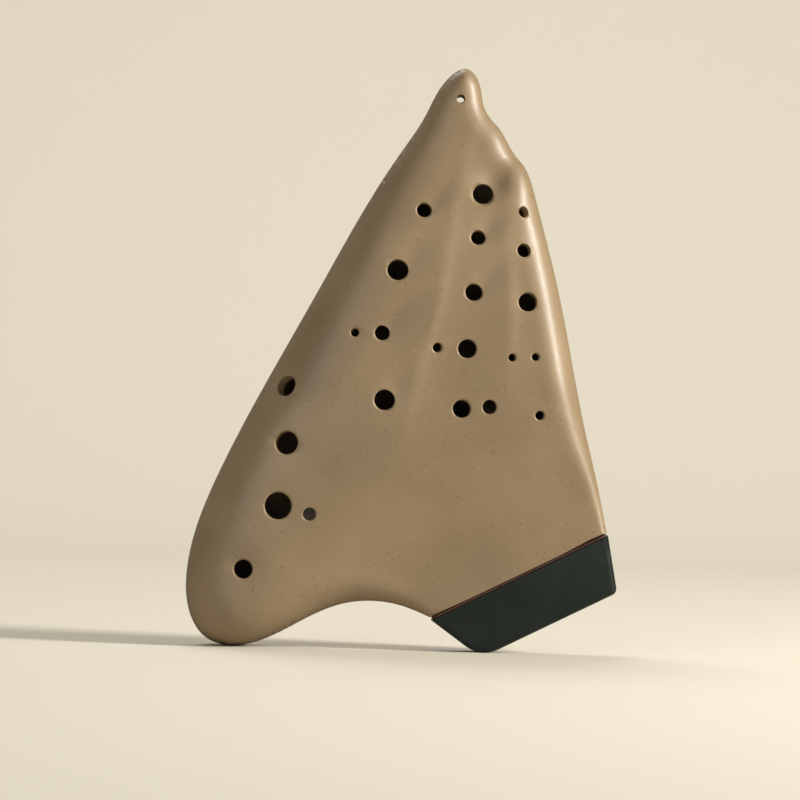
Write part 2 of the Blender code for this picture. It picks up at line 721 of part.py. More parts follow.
def build_cement(ducts, cement):
    """The film of cement between the clay and the mouthpiece, a little smaller than both."""
    short = 0.5
    near, far = -SEAM_GAP, -(SEAM_GAP + CEMENT)
    left, right = short, JOINT_LENGTH - short
    loop = np.array([at_joint(left, near), at_joint(left, far), at_joint(right, far), at_joint(right, near)])
    shape = pillow("joint_cement", loop, np.empty((0, 2)), level(FRONT_JOINT - short), level(BACK_JOINT - short))
    mesh = bmesh.new()
    mesh.from_mesh(shape.data)
    bpy.data.objects.remove(shape)
    bmesh.ops.dissolve_limit(mesh, angle_limit=math.radians(0.5), verts=mesh.verts, edges=mesh.edges)
    corners = [side for side in mesh.edges if side.calc_length() < 1.01 * CEMENT * MM]
    bmesh.ops.bevel(mesh, geom=corners, offset=MOUTH_EDGE * MM, segments=3, profile=0.5, affect="EDGES")
    shape = to_object("joint_cement", mesh, cement)
    for duct in ducts:
        combine(shape, duct)
    return shape


# Materials and the whole instrument

def make_material(name, colour, roughness):
    material = bpy.data.materials.new(name)
    material.use_nodes = True
    shader = material.node_tree.nodes["Principled BSDF"]
    shader.inputs["Base Color"].default_value = (*colour, 1.0)
    shader.inputs["Roughness"].default_value = roughness
    shader.inputs["Metallic"].default_value = 0.0
    return material


def stand_up(shapes):
    """Hangs every piece on one empty, placed so that the instrument stands centred on z = 0."""
    corners = np.array([tuple(vert.co) for shape in shapes for vert in shape.data.vertices])
    low, high = corners.min(axis=0), corners.max(axis=0)
    middle = (low + high) / 2
    stand = bpy.data.objects.new("ocarina", None)
    bpy.context.scene.collection.objects.link(stand)
    stand.location = (-middle[0], -middle[1], -low[2])
    for shape in bpy.data.objects:
        if shape is not stand:
            shape.parent = stand


def build():
    for old in list(bpy.data.objects):
        bpy.data.objects.remove(old)
    clay = make_material("fired_clay", CLAY_COLOUR, 0.5)
    inner_clay = make_material("inner_clay", DARK_CLAY_COLOUR, 0.8)
    black = make_material("black_glaze", BLACK_COLOUR, 0.15)
    cement = make_material("cement", CEMENT_COLOUR, 0.7)

    inside_shape = hollow("inside", WALL, -HOLLOW_PAST)
    room = hollow("room", WALL + INSIDE_GAP, INSIDE_GAP)
    ducts = [air_way_cutter(name) for name in AIR_WAYS]
    windows = [window_cutter(name) for name in AIR_WAYS]

    front = build_front_shell(inside_shape, clay)
    back = build_back_shell(inside_shape, ducts, windows, clay)
    build_partition("partition_low_mid", WALL_LOW_MID, WALL_LOW_MID_END, room, inner_clay)
    build_partition("partition_mid_high", WALL_MID_HIGH, WALL_MID_HIGH_END, room, inner_clay)

    clearance = PARTITION + 2 * SEAM_GAP
    walls = [helper(strip(f"beside_{name}", wall_line(line, share), clearance, FRONT_CROWN + BACK_CROWN))
             for name, line, share in (("low_mid", WALL_LOW_MID, WALL_LOW_MID_END),
                                       ("mid_high", WALL_MID_HIGH, WALL_MID_HIGH_END))]
    build_windway("low", -0.1, WALL_LOW_MID_END, room, walls[:1], inner_clay)
    build_windway("mid", WALL_LOW_MID_END, WALL_MID_HIGH_END, room, walls, inner_clay)
    build_windway("high", WALL_MID_HIGH_END, 1.2, room, walls[1:], inner_clay)
    build_cement(ducts, cement)
    mouthpiece = build_mouthpiece(ducts, black)
    stand_up([front, back, mouthpiece])


build()
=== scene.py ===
"""Triple ocarina in fired clay with a black glazed mouthpiece, standing on a pale studio floor.

The instrument's sizes are in millimetres in its own plan: x to the right, z up, depth counted from the
parting plane between the two clay halves. The finger holes face -y. The studio's sizes are in metres.
"""

import math

import bmesh
import bpy
import numpy as np
from mathutils import Matrix, Vector
from mathutils.geometry import delaunay_2d_cdt


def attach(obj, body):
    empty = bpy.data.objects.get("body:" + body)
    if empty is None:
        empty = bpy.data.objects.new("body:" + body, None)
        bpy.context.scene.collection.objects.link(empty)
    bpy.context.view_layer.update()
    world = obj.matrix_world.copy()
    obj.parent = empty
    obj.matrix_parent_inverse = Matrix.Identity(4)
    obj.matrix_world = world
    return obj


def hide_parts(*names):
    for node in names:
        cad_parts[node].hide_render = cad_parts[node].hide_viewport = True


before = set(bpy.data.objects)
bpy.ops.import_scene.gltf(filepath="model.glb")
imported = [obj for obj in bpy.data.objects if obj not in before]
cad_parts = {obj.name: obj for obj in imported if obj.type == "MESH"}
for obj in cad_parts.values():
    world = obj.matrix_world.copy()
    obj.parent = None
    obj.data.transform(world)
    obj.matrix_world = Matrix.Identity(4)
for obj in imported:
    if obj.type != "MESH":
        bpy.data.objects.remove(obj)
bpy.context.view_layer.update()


# Front half of the clay body.
# Clay pressed into a plaster mould to an even wall, then burnished, with the finger holes bored while it is
# leather-hard. The three chambers step down to the right, and each step leaves a crest that the palm feels.

MM = 0.001
STAND = (-0.119, 2.0, 0.052)       # from the plan to the frame, where the instrument stands centred
WALL = 4.5
SEAM = 0.05                        # half the gap left between the two halves
LIP = 0.8                          # least depth of a surface beside the parting plane
FRONT_CROWN = 20.0                 # depths in the middle, at the tip and at the joint
FRONT_TIP = 8.5
FRONT_JOINT = 9.0
FRONT_JOINT_FLAT = 2.0             # how far from the joint the front keeps its depth
JOINT_TAPER = 62.0                 # lengths over which the depth grows from the joint and from the tip
TIP_TAPER = 105.0
TIP_SOLID = 12.0                   # solid clay below the cord hole
EDGE_POWER = 2.3                   # fullness of the rounded edge
LEAST_RADIUS = 1.0                 # what an inset leaves of the edge's radius at least
OUTLINE_STEP = 0.5                 # between the samples along the outline

# x, z, radius of the rounded edge, height of its upright band
OUTLINE = [
    (75.5, 45.4, 3.0, 6.0), (71.7, 63.0, 5.0, 4.5), (66.7, 82.9, 9.0, 2.0), (61.8, 105.2, 11.0, 1.2),
    (55.4, 134.6, 11.0, 1.0), (51.0, 151.2, 10.5, 1.0), (47.3, 164.2, 10.0, 1.0), (45.0, 172.2, 9.5, 1.0),
    (41.2, 180.6, 9.0, 1.0), (38.2, 184.0, 9.0, 1.0), (35.5, 188.1, 9.0, 1.0), (32.1, 193.7, 9.0, 1.0),
    (28.2, 198.0, 9.0, 1.0), (26.2, 201.6, 9.0, 1.0), (25.2, 206.0, 9.0, 1.0), (23.9, 211.0, 9.0, 1.0),
    (19.3, 215.6, 9.0, 1.0), (13.8, 213.0, 9.5, 1.0), (4.6, 197.9, 13.0, 1.0), (-4.5, 183.4, 17.0, 1.0),
    (-33.9, 131.1, 26.0, 1.0), (-52.7, 95.8, 28.0, 1.0), (-69.1, 62.1, 28.0, 1.0), (-75.8, 44.6, 27.0, 1.0),
    (-79.3, 27.0, 25.0, 1.0), (-77.9, 12.0, 22.0, 1.0), (-72.0, 3.0, 20.0, 1.0), (-63.4, 0.0, 18.0, 1.0),
    (-52.5, 1.7, 17.0, 1.0), (-36.1, 10.0, 15.0, 1.5), (-21.0, 16.6, 12.0, 2.5), (-10.5, 17.9, 9.0, 3.5),
    (0.0, 16.6, 6.0, 4.5), (11.1, 12.5, 3.0, 6.0),
]
CRESTS = [
    [(25.5, 200.5), (21.3, 189.2), (18.0, 174.3), (15.4, 158.7), (12.9, 140.9),
     (10.1, 123.4), (6.3, 111.1), (3.0, 98.1), (0.1, 81.3), (-2.1, 64.0)],
    [(37.6, 184.5), (36.2, 171.1), (35.9, 156.3), (37.1, 137.8),
     (38.0, 119.3), (38.0, 104.5), (37.6, 86.0)],
]
CREST_DROP = 2.0                   # height of a full step at the crown
CREST_REACH = 5.0                  # how gently the clay falls away beside the crest
CREST_FADE = 45.0                  # length over which a step dies out at its lower end
CREST_STEP = 1.0                   # between the samples along a crest

# x, z, diameter, kind of finger seat
FINGER_HOLES = [
    (5.0, 162.5, 5.4, "right hand"), (-4.1, 140.2, 7.7, "right hand"), (-9.2, 116.8, 5.4, "right hand"),
    (-19.3, 116.7, 3.0, "plain"), (-7.7, 92.3, 7.5, "right hand"), (-44.1, 96.6, 7.8, "left hand"),
    (-43.2, 75.7, 8.5, "left hand"), (-45.7, 52.5, 9.9, "left hand"), (-34.1, 49.7, 4.7, "plain"),
    (-57.9, 29.0, 6.9, "left hand"),
    (26.5, 169.1, 7.6, "right end"), (25.1, 152.9, 5.3, "right hand"), (24.0, 132.7, 6.3, "right hand"),
    (11.2, 111.9, 3.4, "plain"), (22.1, 111.8, 6.8, "plain"), (20.6, 89.8, 6.5, "plain"),
    (30.8, 90.7, 5.1, "plain"),
    (41.7, 162.8, 3.9, "small right"), (42.1, 148.6, 5.0, "small right"), (43.9, 129.6, 6.8, "plain"),
    (38.7, 109.0, 2.8, "plain"), (47.2, 109.5, 2.7, "plain"), (49.4, 88.0, 3.3, "plain"),
]
CORD_HOLE = (17.4, 204.1, 2.9)

# direction in degrees above x, depth, length, extra width beyond the hole's radius; a length of 0 is round
SEATS = {
    "right hand": (46.0, 1.1, 11.0, 1.0),
    "right end": (51.0, 3.2, 17.0, 2.0),
    "small right": (46.0, 0.6, 6.0, 0.8),
    "left hand": (0.0, 0.6, 0.0, 3.0),
}
SEAT_START_RADII = 2.2             # a long seat deepens over this many radii and this much more
SEAT_START_MORE = 1.5

BORE_DEPTH = 9.0                   # through the wall from the clay's surface
BORE_ABOVE = 3.0                   # how far a bore's cutter stands above the clay
BORE_SIDES = 40
RIM = 0.6                          # radius of each hole's softened rim
RIM_ANGLES = (0, 22, 45, 68, 90)   # where the rim's rounding has points, in degrees
RIM_SPREAD = 4 * RIM               # how much wider than its hole the cutter is at its top
SLOPE_PROBE = 1.0                  # how far out the clay's slope is taken


def smooth_curve(knots, step):
    """Natural cubic spline through the knots, sampled about every step; further columns vary with it."""
    knots = np.array(knots, float)
    chord = np.hypot(*np.diff(knots[:, :2], axis=0).T)
    at = np.concatenate([[0.0], np.cumsum(chord)])
    count = len(knots)
    links = np.eye(count)
    right = np.zeros_like(knots)
    for i in range(1, count - 1):
        before, after = chord[i - 1], chord[i]
        links[i, i - 1:i + 2] = before, 2 * (before + after), after
        right[i] = 6 * ((knots[i + 1] - knots[i]) / after - (knots[i] - knots[i - 1]) / before)
    bend = np.linalg.solve(links, right)
    samples = np.linspace(0.0, at[-1], max(2, int(round(at[-1] / step)) + 1))
    span = np.clip(np.searchsorted(at, samples, side="right") - 1, 0, count - 2)
    length = chord[span][:, None]
    t = (samples - at[span])[:, None] / length
    s = 1 - t
    curved = (s ** 3 - s) * bend[span] + (t ** 3 - t) * bend[span + 1]
    return s * knots[span] + t * knots[span + 1] + curved * length ** 2 / 6


OUTLINE_CURVE = smooth_curve(OUTLINE, OUTLINE_STEP)
JOINT_RIGHT = OUTLINE_CURVE[0, :2]
JOINT_LEFT = OUTLINE_CURVE[-1, :2]
JOINT_LENGTH = float(np.hypot(*(JOINT_RIGHT - JOINT_LEFT)))
ALONG = (JOINT_RIGHT - JOINT_LEFT) / JOINT_LENGTH
INWARD = np.array([-ALONG[1], ALONG[0]])
TIP = OUTLINE_CURVE[np.argmax(OUTLINE_CURVE[:, 1]), :2]


def smoothstep(value):
    """An even rise from 0 to 1 that starts and ends gently."""
    value = np.clip(value, 0.0, 1.0)
    return value * value * (3 - 2 * value)


def at_joint(along, inward):
    """Plan point at a distance along the joint line and into the body; negative is out, to the lips."""
    return JOINT_LEFT + ALONG * along + INWARD * inward


def nearest_mark(points, marks, weights=None):
    """Smallest distance from each point to a mark, and which mark it is.

    With weights, the distance is first cut by the first of them and then divided by each mark's own.
    """
    least = np.empty(len(points))
    which = np.empty(len(points), int)
    batch = 4000
    for start in range(0, len(points), batch):
        part = points[start:start + batch]
        gap = np.hypot(part[:, None, 0] - marks[None, :, 0], part[:, None, 1] - marks[None, :, 1])
        if weights is not None:
            gap = np.maximum(gap - weights[0], 0.0) / weights[1]
        which[start:start + batch] = gap.argmin(axis=1)
        least[start:start + batch] = gap.min(axis=1)
    return least, which


def edge_share(points, inset=0.0):
    """How far in each point lies, as a share of the edge's radius, and the outline's nearest sample.

    The distance is taken to the outline's two stretches beside that sample, not to the sample itself.
    """
    radius = np.maximum(OUTLINE_CURVE[:, 2] - inset, LEAST_RADIUS)
    share, nearest = nearest_mark(points, OUTLINE_CURVE, (inset, radius))
    start = OUTLINE_CURVE[nearest, :2]
    no_length = 1e-9
    for step in (-1, 1):
        beside = np.clip(nearest + step, 0, len(OUTLINE_CURVE) - 1)
        way = OUTLINE_CURVE[beside, :2] - start
        part = ((points - start) * way).sum(axis=1) / np.maximum((way ** 2).sum(axis=1), no_length)
        part = np.clip(part, 0.0, 1.0)
        gap = np.hypot(*(points - start - way * part[:, None]).T)
        wide = radius[nearest] + part * (radius[beside] - radius[nearest])
        share = np.minimum(share, np.maximum(gap - inset, 0.0) / wide)
    return share, nearest


def crown(points, top, tip, joint, flat):
    """Depth of a half before its edges are rounded."""
    away = points - JOINT_LEFT
    along = np.clip(away @ ALONG, 0.0, JOINT_LENGTH)
    from_joint = np.hypot(*(away - along[:, None] * ALONG).T)
    near_joint = 1 - smoothstep((from_joint - flat) / JOINT_TAPER)
    near_tip = 1 - smoothstep(np.hypot(*(points - TIP).T) / TIP_TAPER)
    return top - (top - joint) * near_joint - (top - tip) * near_tip


def crest_drop(points, line):
    """Share of the full step at each point: 0 to the left of the crest, growing to 1 on its right."""
    curve = smooth_curve(line, CREST_STEP)
    gap, nearest = nearest_mark(points, curve)
    run = np.gradient(curve, axis=0)
    away = points - curve[nearest]
    side = run[nearest, 0] * away[:, 1] - run[nearest, 1] * away[:, 0]
    right = np.where(side > 0, gap, 0.0)
    left_to_go = CREST_STEP * (len(curve) - 1 - nearest)
    return (1 - np.exp(-right / CREST_REACH)) * smoothstep(left_to_go / CREST_FADE)


def rounded(points, base, inset=0.0):
    """The base depth with its edges rounded over, for the skin or for a surface inset into the clay."""
    share, nearest = edge_share(points, inset)
    rise = np.sqrt(1 - (1 - np.minimum(share, 1.0)) ** EDGE_POWER)
    top = base(points) - inset
    band = np.maximum(OUTLINE_CURVE[nearest, 3] - inset, LIP)
    return np.maximum(band + (top - band) * rise, LIP)


def seat_depth(points, x, z, diameter, kind):
    """How deep one hole's finger seat is cut at each point."""
    angle, depth, length, extra = SEATS[kind]
    radius = diameter / 2 + extra
    heading = np.array([math.cos(math.radians(angle)), math.sin(math.radians(angle))])
    away = points - (x, z)
    if length == 0.0:
        return depth * np.exp(-(away ** 2).sum(axis=1) / radius ** 2)
    ahead = away @ heading
    aside = away @ np.array([-heading[1], heading[0]])
    start = smoothstep((ahead + radius) / (SEAT_START_RADII * radius + SEAT_START_MORE))
    tail = np.exp(-np.clip(ahead - diameter / 2, 0.0, None) ** 2 / length ** 2)
    return depth * start * tail * np.exp(-aside ** 2 / radius ** 2)


def front_base(points):
    """Depth of the front with its steps, before its edges are rounded."""
    top = crown(points, FRONT_CROWN, FRONT_TIP, FRONT_JOINT, FRONT_JOINT_FLAT)
    steps = sum(crest_drop(points, line) for line in CRESTS)
    return top - CREST_DROP * steps * top / FRONT_CROWN


def front_plain(points):
    return rounded(points, front_base)


def front_skin(points):
    """The front with its finger seats cut in."""
    cut = np.zeros(len(points))
    for x, z, diameter, kind in FINGER_HOLES:
        if kind in SEATS:
            cut = np.maximum(cut, seat_depth(points, x, z, diameter, kind))
    return np.maximum(front_plain(points) - cut, LIP)


def front_inside(points):
    return rounded(points, front_base, WALL)


def level(depth):
    """A surface with the same depth everywhere."""
    return lambda points: np.full(len(points), float(depth))


def inside(points, loop):
    """Which points lie inside a closed plan loop."""
    found = np.zeros(len(points), bool)
    for (x0, z0), (x1, z1) in zip(loop, np.roll(loop, -1, axis=0)):
        if z0 != z1:
            crosses = (points[:, 1] < z0) != (points[:, 1] < z1)
            found ^= crosses & (points[:, 0] < x0 + (points[:, 1] - z0) * (x1 - x0) / (z1 - z0))
    return found


def ring(share, step, inset=0.0):
    """The outline moved in by the inset and by a share of what is left of the edge's radius.

    Where it would fold over itself, the points that come too near the outline are left out.
    """
    share_slack = 0.02
    inset_slack = 0.05
    line = smooth_curve(OUTLINE, step)
    run = np.gradient(line[:, :2], axis=0)
    run /= np.hypot(*run.T)[:, None]
    distance = inset + share * np.maximum(line[:, 2] - inset, LEAST_RADIUS)
    moved = line[:, :2] + np.column_stack([-run[:, 1], run[:, 0]]) * distance[:, None]
    clear = edge_share(moved, inset)[0] > share - share_slack
    clear &= nearest_mark(moved, OUTLINE_CURVE)[0] > inset - inset_slack
    return moved[clear]


def staggered(spacing):
    """Points over the whole plan in even triangles: each row lies half a space along from the last."""
    low, high = OUTLINE_CURVE[:, :2].min(axis=0), OUTLINE_CURVE[:, :2].max(axis=0)
    row_height = spacing * math.sqrt(0.75)
    rows = []
    for row, z in enumerate(np.arange(low[1], high[1], row_height)):
        x = np.arange(low[0] + spacing * (row % 2) / 2, high[0], spacing)
        rows.append(np.column_stack([x, np.full(len(x), z)]))
    return np.concatenate(rows)


def thinned(points, kept, spacing):
    """The points that lie further than the spacing from those already kept."""
    return points[nearest_mark(points, kept)[0] > spacing]


def pillow(loop, extra, front, back):
    """A closed mesh over a plan loop, from its front surface to its back surface, both given as depths."""
    whole_hull = 0
    weld = 1e-5
    extra = extra[inside(extra, loop)]
    sides = [(i, (i + 1) % len(loop)) for i in range(len(loop))]
    spots = [Vector(point) for point in np.concatenate([loop, extra])]
    result = delaunay_2d_cdt(spots, sides, [], whole_hull, weld)
    plan = np.array([tuple(point) for point in result[0]])
    faces = np.array([tuple(face) for face in result[2]])
    faces = faces[inside(plan[faces].mean(axis=1), loop)]
    count = len(plan)
    ahead = np.column_stack([plan[:, 0], -front(plan), plan[:, 1]])
    behind = np.column_stack([plan[:, 0], back(plan), plan[:, 1]])
    mesh = bmesh.new()
    points = [mesh.verts.new(point) for point in np.concatenate([ahead, behind])]
    mesh.verts.index_update()
    for a, b, c in faces.tolist():
        mesh.faces.new((points[a], points[b], points[c]))
        mesh.faces.new((points[count + c], points[count + b], points[count + a]))
    for side in [side for side in mesh.edges if side.is_boundary]:
        a, b = (vert.index for vert in side.verts)
        if a < count and b < count:
            mesh.faces.new((points[a], points[b], points[count + b], points[count + a]))
    loose = [vert for vert in mesh.verts if not vert.link_faces]
    bmesh.ops.delete(mesh, geom=loose, context="VERTS")
    bmesh.ops.recalc_face_normals(mesh, faces=mesh.faces)
    return mesh


def to_object(name, mesh):
    """A linked object from a closed mesh in plan millimetres, put in its place in the frame."""
    mesh.transform(Matrix.Scale(MM, 4) @ Matrix.Translation(Vector(STAND)))
    data = bpy.data.meshes.new(name)
    mesh.to_mesh(data)
    mesh.free()
    shape = bpy.data.objects.new(name, data)
    bpy.context.scene.collection.objects.link(shape)
    return shape


def add_tube(mesh, rings):
    """A closed tube through rings of corners, all with the same number of corners."""
    made = [[mesh.verts.new(corner) for corner in corners] for corners in rings]
    for near, far in zip(made, made[1:]):
        for i in range(len(near)):
            j = (i + 1) % len(near)
            mesh.faces.new((near[i], near[j], far[j], far[i]))
    mesh.faces.new(reversed(made[0]))
    mesh.faces.new(made[-1])
    bmesh.ops.recalc_face_normals(mesh, faces=mesh.faces)


def add_bore(mesh, x, z, diameter, surface, skin, side, depth):
    """A cutter square to a surface, whose top end softens the rim where it comes out through the skin."""
    radius = diameter / 2
    right, left, up, down = surface(np.array([
        (x + SLOPE_PROBE, z), (x - SLOPE_PROBE, z), (x, z + SLOPE_PROBE), (x, z - SLOPE_PROBE),
    ]))
    lean = ((left - right) / (2 * SLOPE_PROBE), side, (down - up) / (2 * SLOPE_PROBE))
    way = Vector(lean).normalized()
    mouth = Vector((x, side * float(skin(np.array([(x, z)]))[0]), z))
    place = Matrix.Translation(mouth) @ way.to_track_quat("Z", "Y").to_matrix().to_4x4()
    profile = [(radius, -depth)]
    for angle in RIM_ANGLES:
        bend = math.radians(angle)
        profile.append((radius + RIM * (1 - math.cos(bend)), -RIM * (1 - math.sin(bend))))
    profile.append((radius + RIM_SPREAD, BORE_ABOVE))
    turns = [2 * math.pi * i / BORE_SIDES for i in range(BORE_SIDES)]
    add_tube(mesh, [
        [place @ Vector((reach * math.cos(turn), reach * math.sin(turn), height)) for turn in turns]
        for reach, height in profile
    ])


def cut_out(shape, cutters, sharp_degrees):
    """Cuts the cutters from the shape for good, removes them and shades what is left."""
    for cutter in cutters:
        boolean = shape.modifiers.new(cutter.name, "BOOLEAN")
        boolean.operation = "DIFFERENCE"
        boolean.object = cutter
        boolean.solver = "EXACT"
    evaluated = shape.evaluated_get(bpy.context.evaluated_depsgraph_get())
    shape.data = bpy.data.meshes.new_from_object(evaluated)
    shape.modifiers.clear()
    shape.data.shade_smooth()
    shape.data.set_sharp_from_angle(angle=math.radians(sharp_degrees))
    for cutter in cutters:
        bpy.data.objects.remove(cutter)


def finish_with(piece, material):
    piece.data.materials.clear()
    piece.data.materials.append(material)


def new_material(name):
    """A material with its shader, nodes and links."""
    material = bpy.data.materials.new(name)
    material.use_nodes = True
    nodes = material.node_tree.nodes
    return material, nodes["Principled BSDF"], nodes, material.node_tree.links


def set_inputs(node, values):
    for socket, value in values.items():
        node.inputs[socket].default_value = value


def add_sockets(group, kind, names, shape):
    for name in names:
        group.interface.new_socket(name=name, in_out=kind, socket_type=shape)


# scale and detail of each noise in the clay
CLOUDS = (28.0, 4.0)
GRAIN = (1400.0, 5.0)
SPECKS = (1250.0, 1.0)
PITS = (1100.0, 1.0)
# noise values from and to, and the amounts that they stand for
CLOUD_SHADE = (0.34, 0.66, 0.0, 1.0)
GRAIN_SHADE = (0.3, 0.8, 0.0, 0.25)
SPECK_LIGHT = (0.70, 0.76, 0.0, 0.45)
PIT_SHADE = (0.72, 0.76, 0.0, 0.7)
GRAIN_ROUGHNESS = (0.3, 0.7, 0.40, 0.54)


def fired_surface():
    """Mottled, faintly speckled clay: its colour, roughness and height, by the place on the piece."""
    group = bpy.data.node_groups.new("fired surface", "ShaderNodeTree")
    add_sockets(group, "INPUT", ("Light", "Dark", "Pit"), "NodeSocketColor")
    add_sockets(group, "OUTPUT", ("Color",), "NodeSocketColor")
    add_sockets(group, "OUTPUT", ("Roughness", "Height"), "NodeSocketFloat")
    nodes, links = group.nodes, group.links
    source = nodes.new("NodeGroupInput")
    result = nodes.new("NodeGroupOutput")
    place = nodes.new("ShaderNodeTexCoord")

    def noise(scale, detail):
        node = nodes.new("ShaderNodeTexNoise")
        set_inputs(node, {"Scale": scale, "Detail": detail})
        links.new(place.outputs["Object"], node.inputs["Vector"])
        return node.outputs["Fac"]

    def ranged(value, low, high, to_low, to_high):
        node = nodes.new("ShaderNodeMapRange")
        set_inputs(node, {"From Min": low, "From Max": high, "To Min": to_low, "To Max": to_high})
        links.new(value, node.inputs["Value"])
        return node.outputs["Result"]

    def mixed(factor, a, b, blend="MIX"):
        node = nodes.new("ShaderNodeMix")
        node.data_type = "RGBA"
        node.blend_type = blend
        links.new(factor, node.inputs["Factor"])
        links.new(a, node.inputs["A"])
        links.new(b, node.inputs["B"])
        return node.outputs["Result"]

    light, dark, pit = (source.outputs[name] for name in ("Light", "Dark", "Pit"))
    grain = noise(*GRAIN)
    tone = mixed(ranged(noise(*CLOUDS), *CLOUD_SHADE), light, dark)
    tone = mixed(ranged(grain, *GRAIN_SHADE), tone, dark)
    tone = mixed(ranged(noise(*SPECKS), *SPECK_LIGHT), tone, light, "SCREEN")
    tone = mixed(ranged(noise(*PITS), *PIT_SHADE), tone, pit)
    links.new(tone, result.inputs["Color"])
    links.new(ranged(grain, *GRAIN_ROUGHNESS), result.inputs["Roughness"])
    links.new(grain, result.inputs["Height"])
    return group


FIRED_SURFACE = fired_surface()


def clay_material(name, light, dark, pit, coat):
    """Fired clay: three colours mixed by the shared surface, and the waxy coat that burnishing gives."""
    material, shader, nodes, links = new_material(name)
    surface = nodes.new("ShaderNodeGroup")
    surface.node_tree = FIRED_SURFACE
    set_inputs(surface, {"Light": (*light, 1.0), "Dark": (*dark, 1.0), "Pit": (*pit, 1.0)})
    bump = nodes.new("ShaderNodeBump")
    set_inputs(bump, {"Strength": 0.12, "Distance": 0.0002})
    links.new(surface.outputs["Color"], shader.inputs["Base Color"])
    links.new(surface.outputs["Roughness"], shader.inputs["Roughness"])
    links.new(surface.outputs["Height"], bump.inputs["Height"])
    links.new(bump.outputs["Normal"], shader.inputs["Normal"])
    set_inputs(shader, {"Coat Weight": coat, "Coat Roughness": 0.35})
    return material


BURNISHED_COAT = 0.16
FIRED_CLAY = clay_material("fired clay", (0.285, 0.205, 0.118), (0.225, 0.158, 0.088),
                           (0.07, 0.045, 0.025), BURNISHED_COAT)

SKIN_SHARES = (0.01, 0.04, 0.09, 0.16, 0.26, 0.38, 0.52, 0.7, 0.9)     # of the edge's radius
SKIN_RING_STEP = 2.4
SKIN_LINE_STEP = 1.6               # along the outline and the crests
SKIN_GRID = 1.9
SKIN_GRID_FROM = 0.95              # share of the edge's radius where the even grid takes over
SKIN_CREST_CLEAR = 0.7             # least distances from a crest and from a ring
SKIN_RING_CLEAR = 1.0
SKIN_SHARP = 40.0                  # degrees from which an edge is shaded sharp

HOLLOW_SHARES = (0.1, 0.4, 0.7)
HOLLOW_LINE_STEP = 3.0
HOLLOW_RING_STEP = 4.0
HOLLOW_GRID = 5.0
HOLLOW_GRID_FROM = 0.9
HOLLOW_RING_CLEAR = 3.0
HOLLOW_LINE_CLEAR = 1.0
HOLLOW_FROM = 1.5                  # how far from the joint the inset outline is left for a straight end
HOLLOW_PAST = 2.3                  # how far the hollow's cutter runs past the joint
HOLLOW_ACROSS = 3.0                # and past the parting plane


def skin_points():
    """Fine points over the skin: on the crests, in rings close to the edge and in a grid between."""
    crests = np.concatenate([smooth_curve(line, SKIN_LINE_STEP) for line in CRESTS])
    rings = [ring(share, SKIN_RING_STEP) for share in SKIN_SHARES]
    kept = np.concatenate([crests] + [thinned(points, crests, SKIN_CREST_CLEAR) for points in rings])
    grid = staggered(SKIN_GRID)
    grid = grid[edge_share(grid)[0] > SKIN_GRID_FROM]
    return np.concatenate([kept, thinned(grid, kept, SKIN_RING_CLEAR)])


def body_hollow(name, front, back):
    """The chambers' shared inside, cut off straight below the solid tip and run past the joint."""
    line = ring(0.0, HOLLOW_LINE_STEP, WALL)
    line = line[line[:, 1] < CORD_HOLE[1] - TIP_SOLID]
    line = line[(line - JOINT_LEFT) @ INWARD > HOLLOW_FROM]
    ends = []
    for end, before in ((line[-1], line[-2]), (line[0], line[1])):
        slope = (end - before) / ((end - before) @ INWARD)
        ends.append(end + slope * (-HOLLOW_PAST - (end - JOINT_LEFT) @ INWARD))
    loop = np.concatenate([line, ends])
    rings = np.concatenate([ring(share, HOLLOW_RING_STEP, WALL) for share in HOLLOW_SHARES])
    grid = staggered(HOLLOW_GRID)
    grid = grid[edge_share(grid, WALL)[0] > HOLLOW_GRID_FROM]
    extra = np.concatenate([rings, thinned(grid, rings, HOLLOW_RING_CLEAR)])
    return to_object(name, pillow(loop, thinned(extra, loop, HOLLOW_LINE_CLEAR), front, back))


def dress_shell(name, node, front, back, cutters):
    """Builds one clay half, cuts its openings and puts it in its node's place."""
    outline = smooth_curve(OUTLINE, SKIN_LINE_STEP)[:, :2]
    shell = to_object(name, pillow(outline, skin_points(), front, back))
    cut_out(shell, cutters, SKIN_SHARP)
    finish_with(shell, FIRED_CLAY)
    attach(shell, "root")
    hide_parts(node)


def front_bores():
    mesh = bmesh.new()
    for x, z, diameter, _ in FINGER_HOLES:
        add_bore(mesh, x, z, diameter, front_plain, front_skin, -1, BORE_DEPTH)
    add_bore(mesh, *CORD_HOLE, level(0), front_skin, -1, FRONT_CROWN)
    return to_object("front bores", mesh)


dress_shell("clay_front", "front_shell", front_skin, level(-SEAM),
            [front_bores(), body_hollow("front hollow", front_inside, level(HOLLOW_ACROSS))])


# Back half of the clay body.
# The same clay, flatter, with the thumb holes and three windows. Below each window the clay is shaved to
# the labium, the thin edge that splits the air and makes the tone.

BACK_CROWN = 16.0
BACK_TIP = 7.5
BACK_JOINT = 9.0
BACK_JOINT_FLAT = 27.0             # the back stays flat here, for the windows

# x, z, diameter
THUMB_HOLES = [(-56.6, 57.6, 9.0), (-12.9, 109.8, 8.0), (20.1, 121.8, 6.5), (46.1, 119.6, 5.0)]
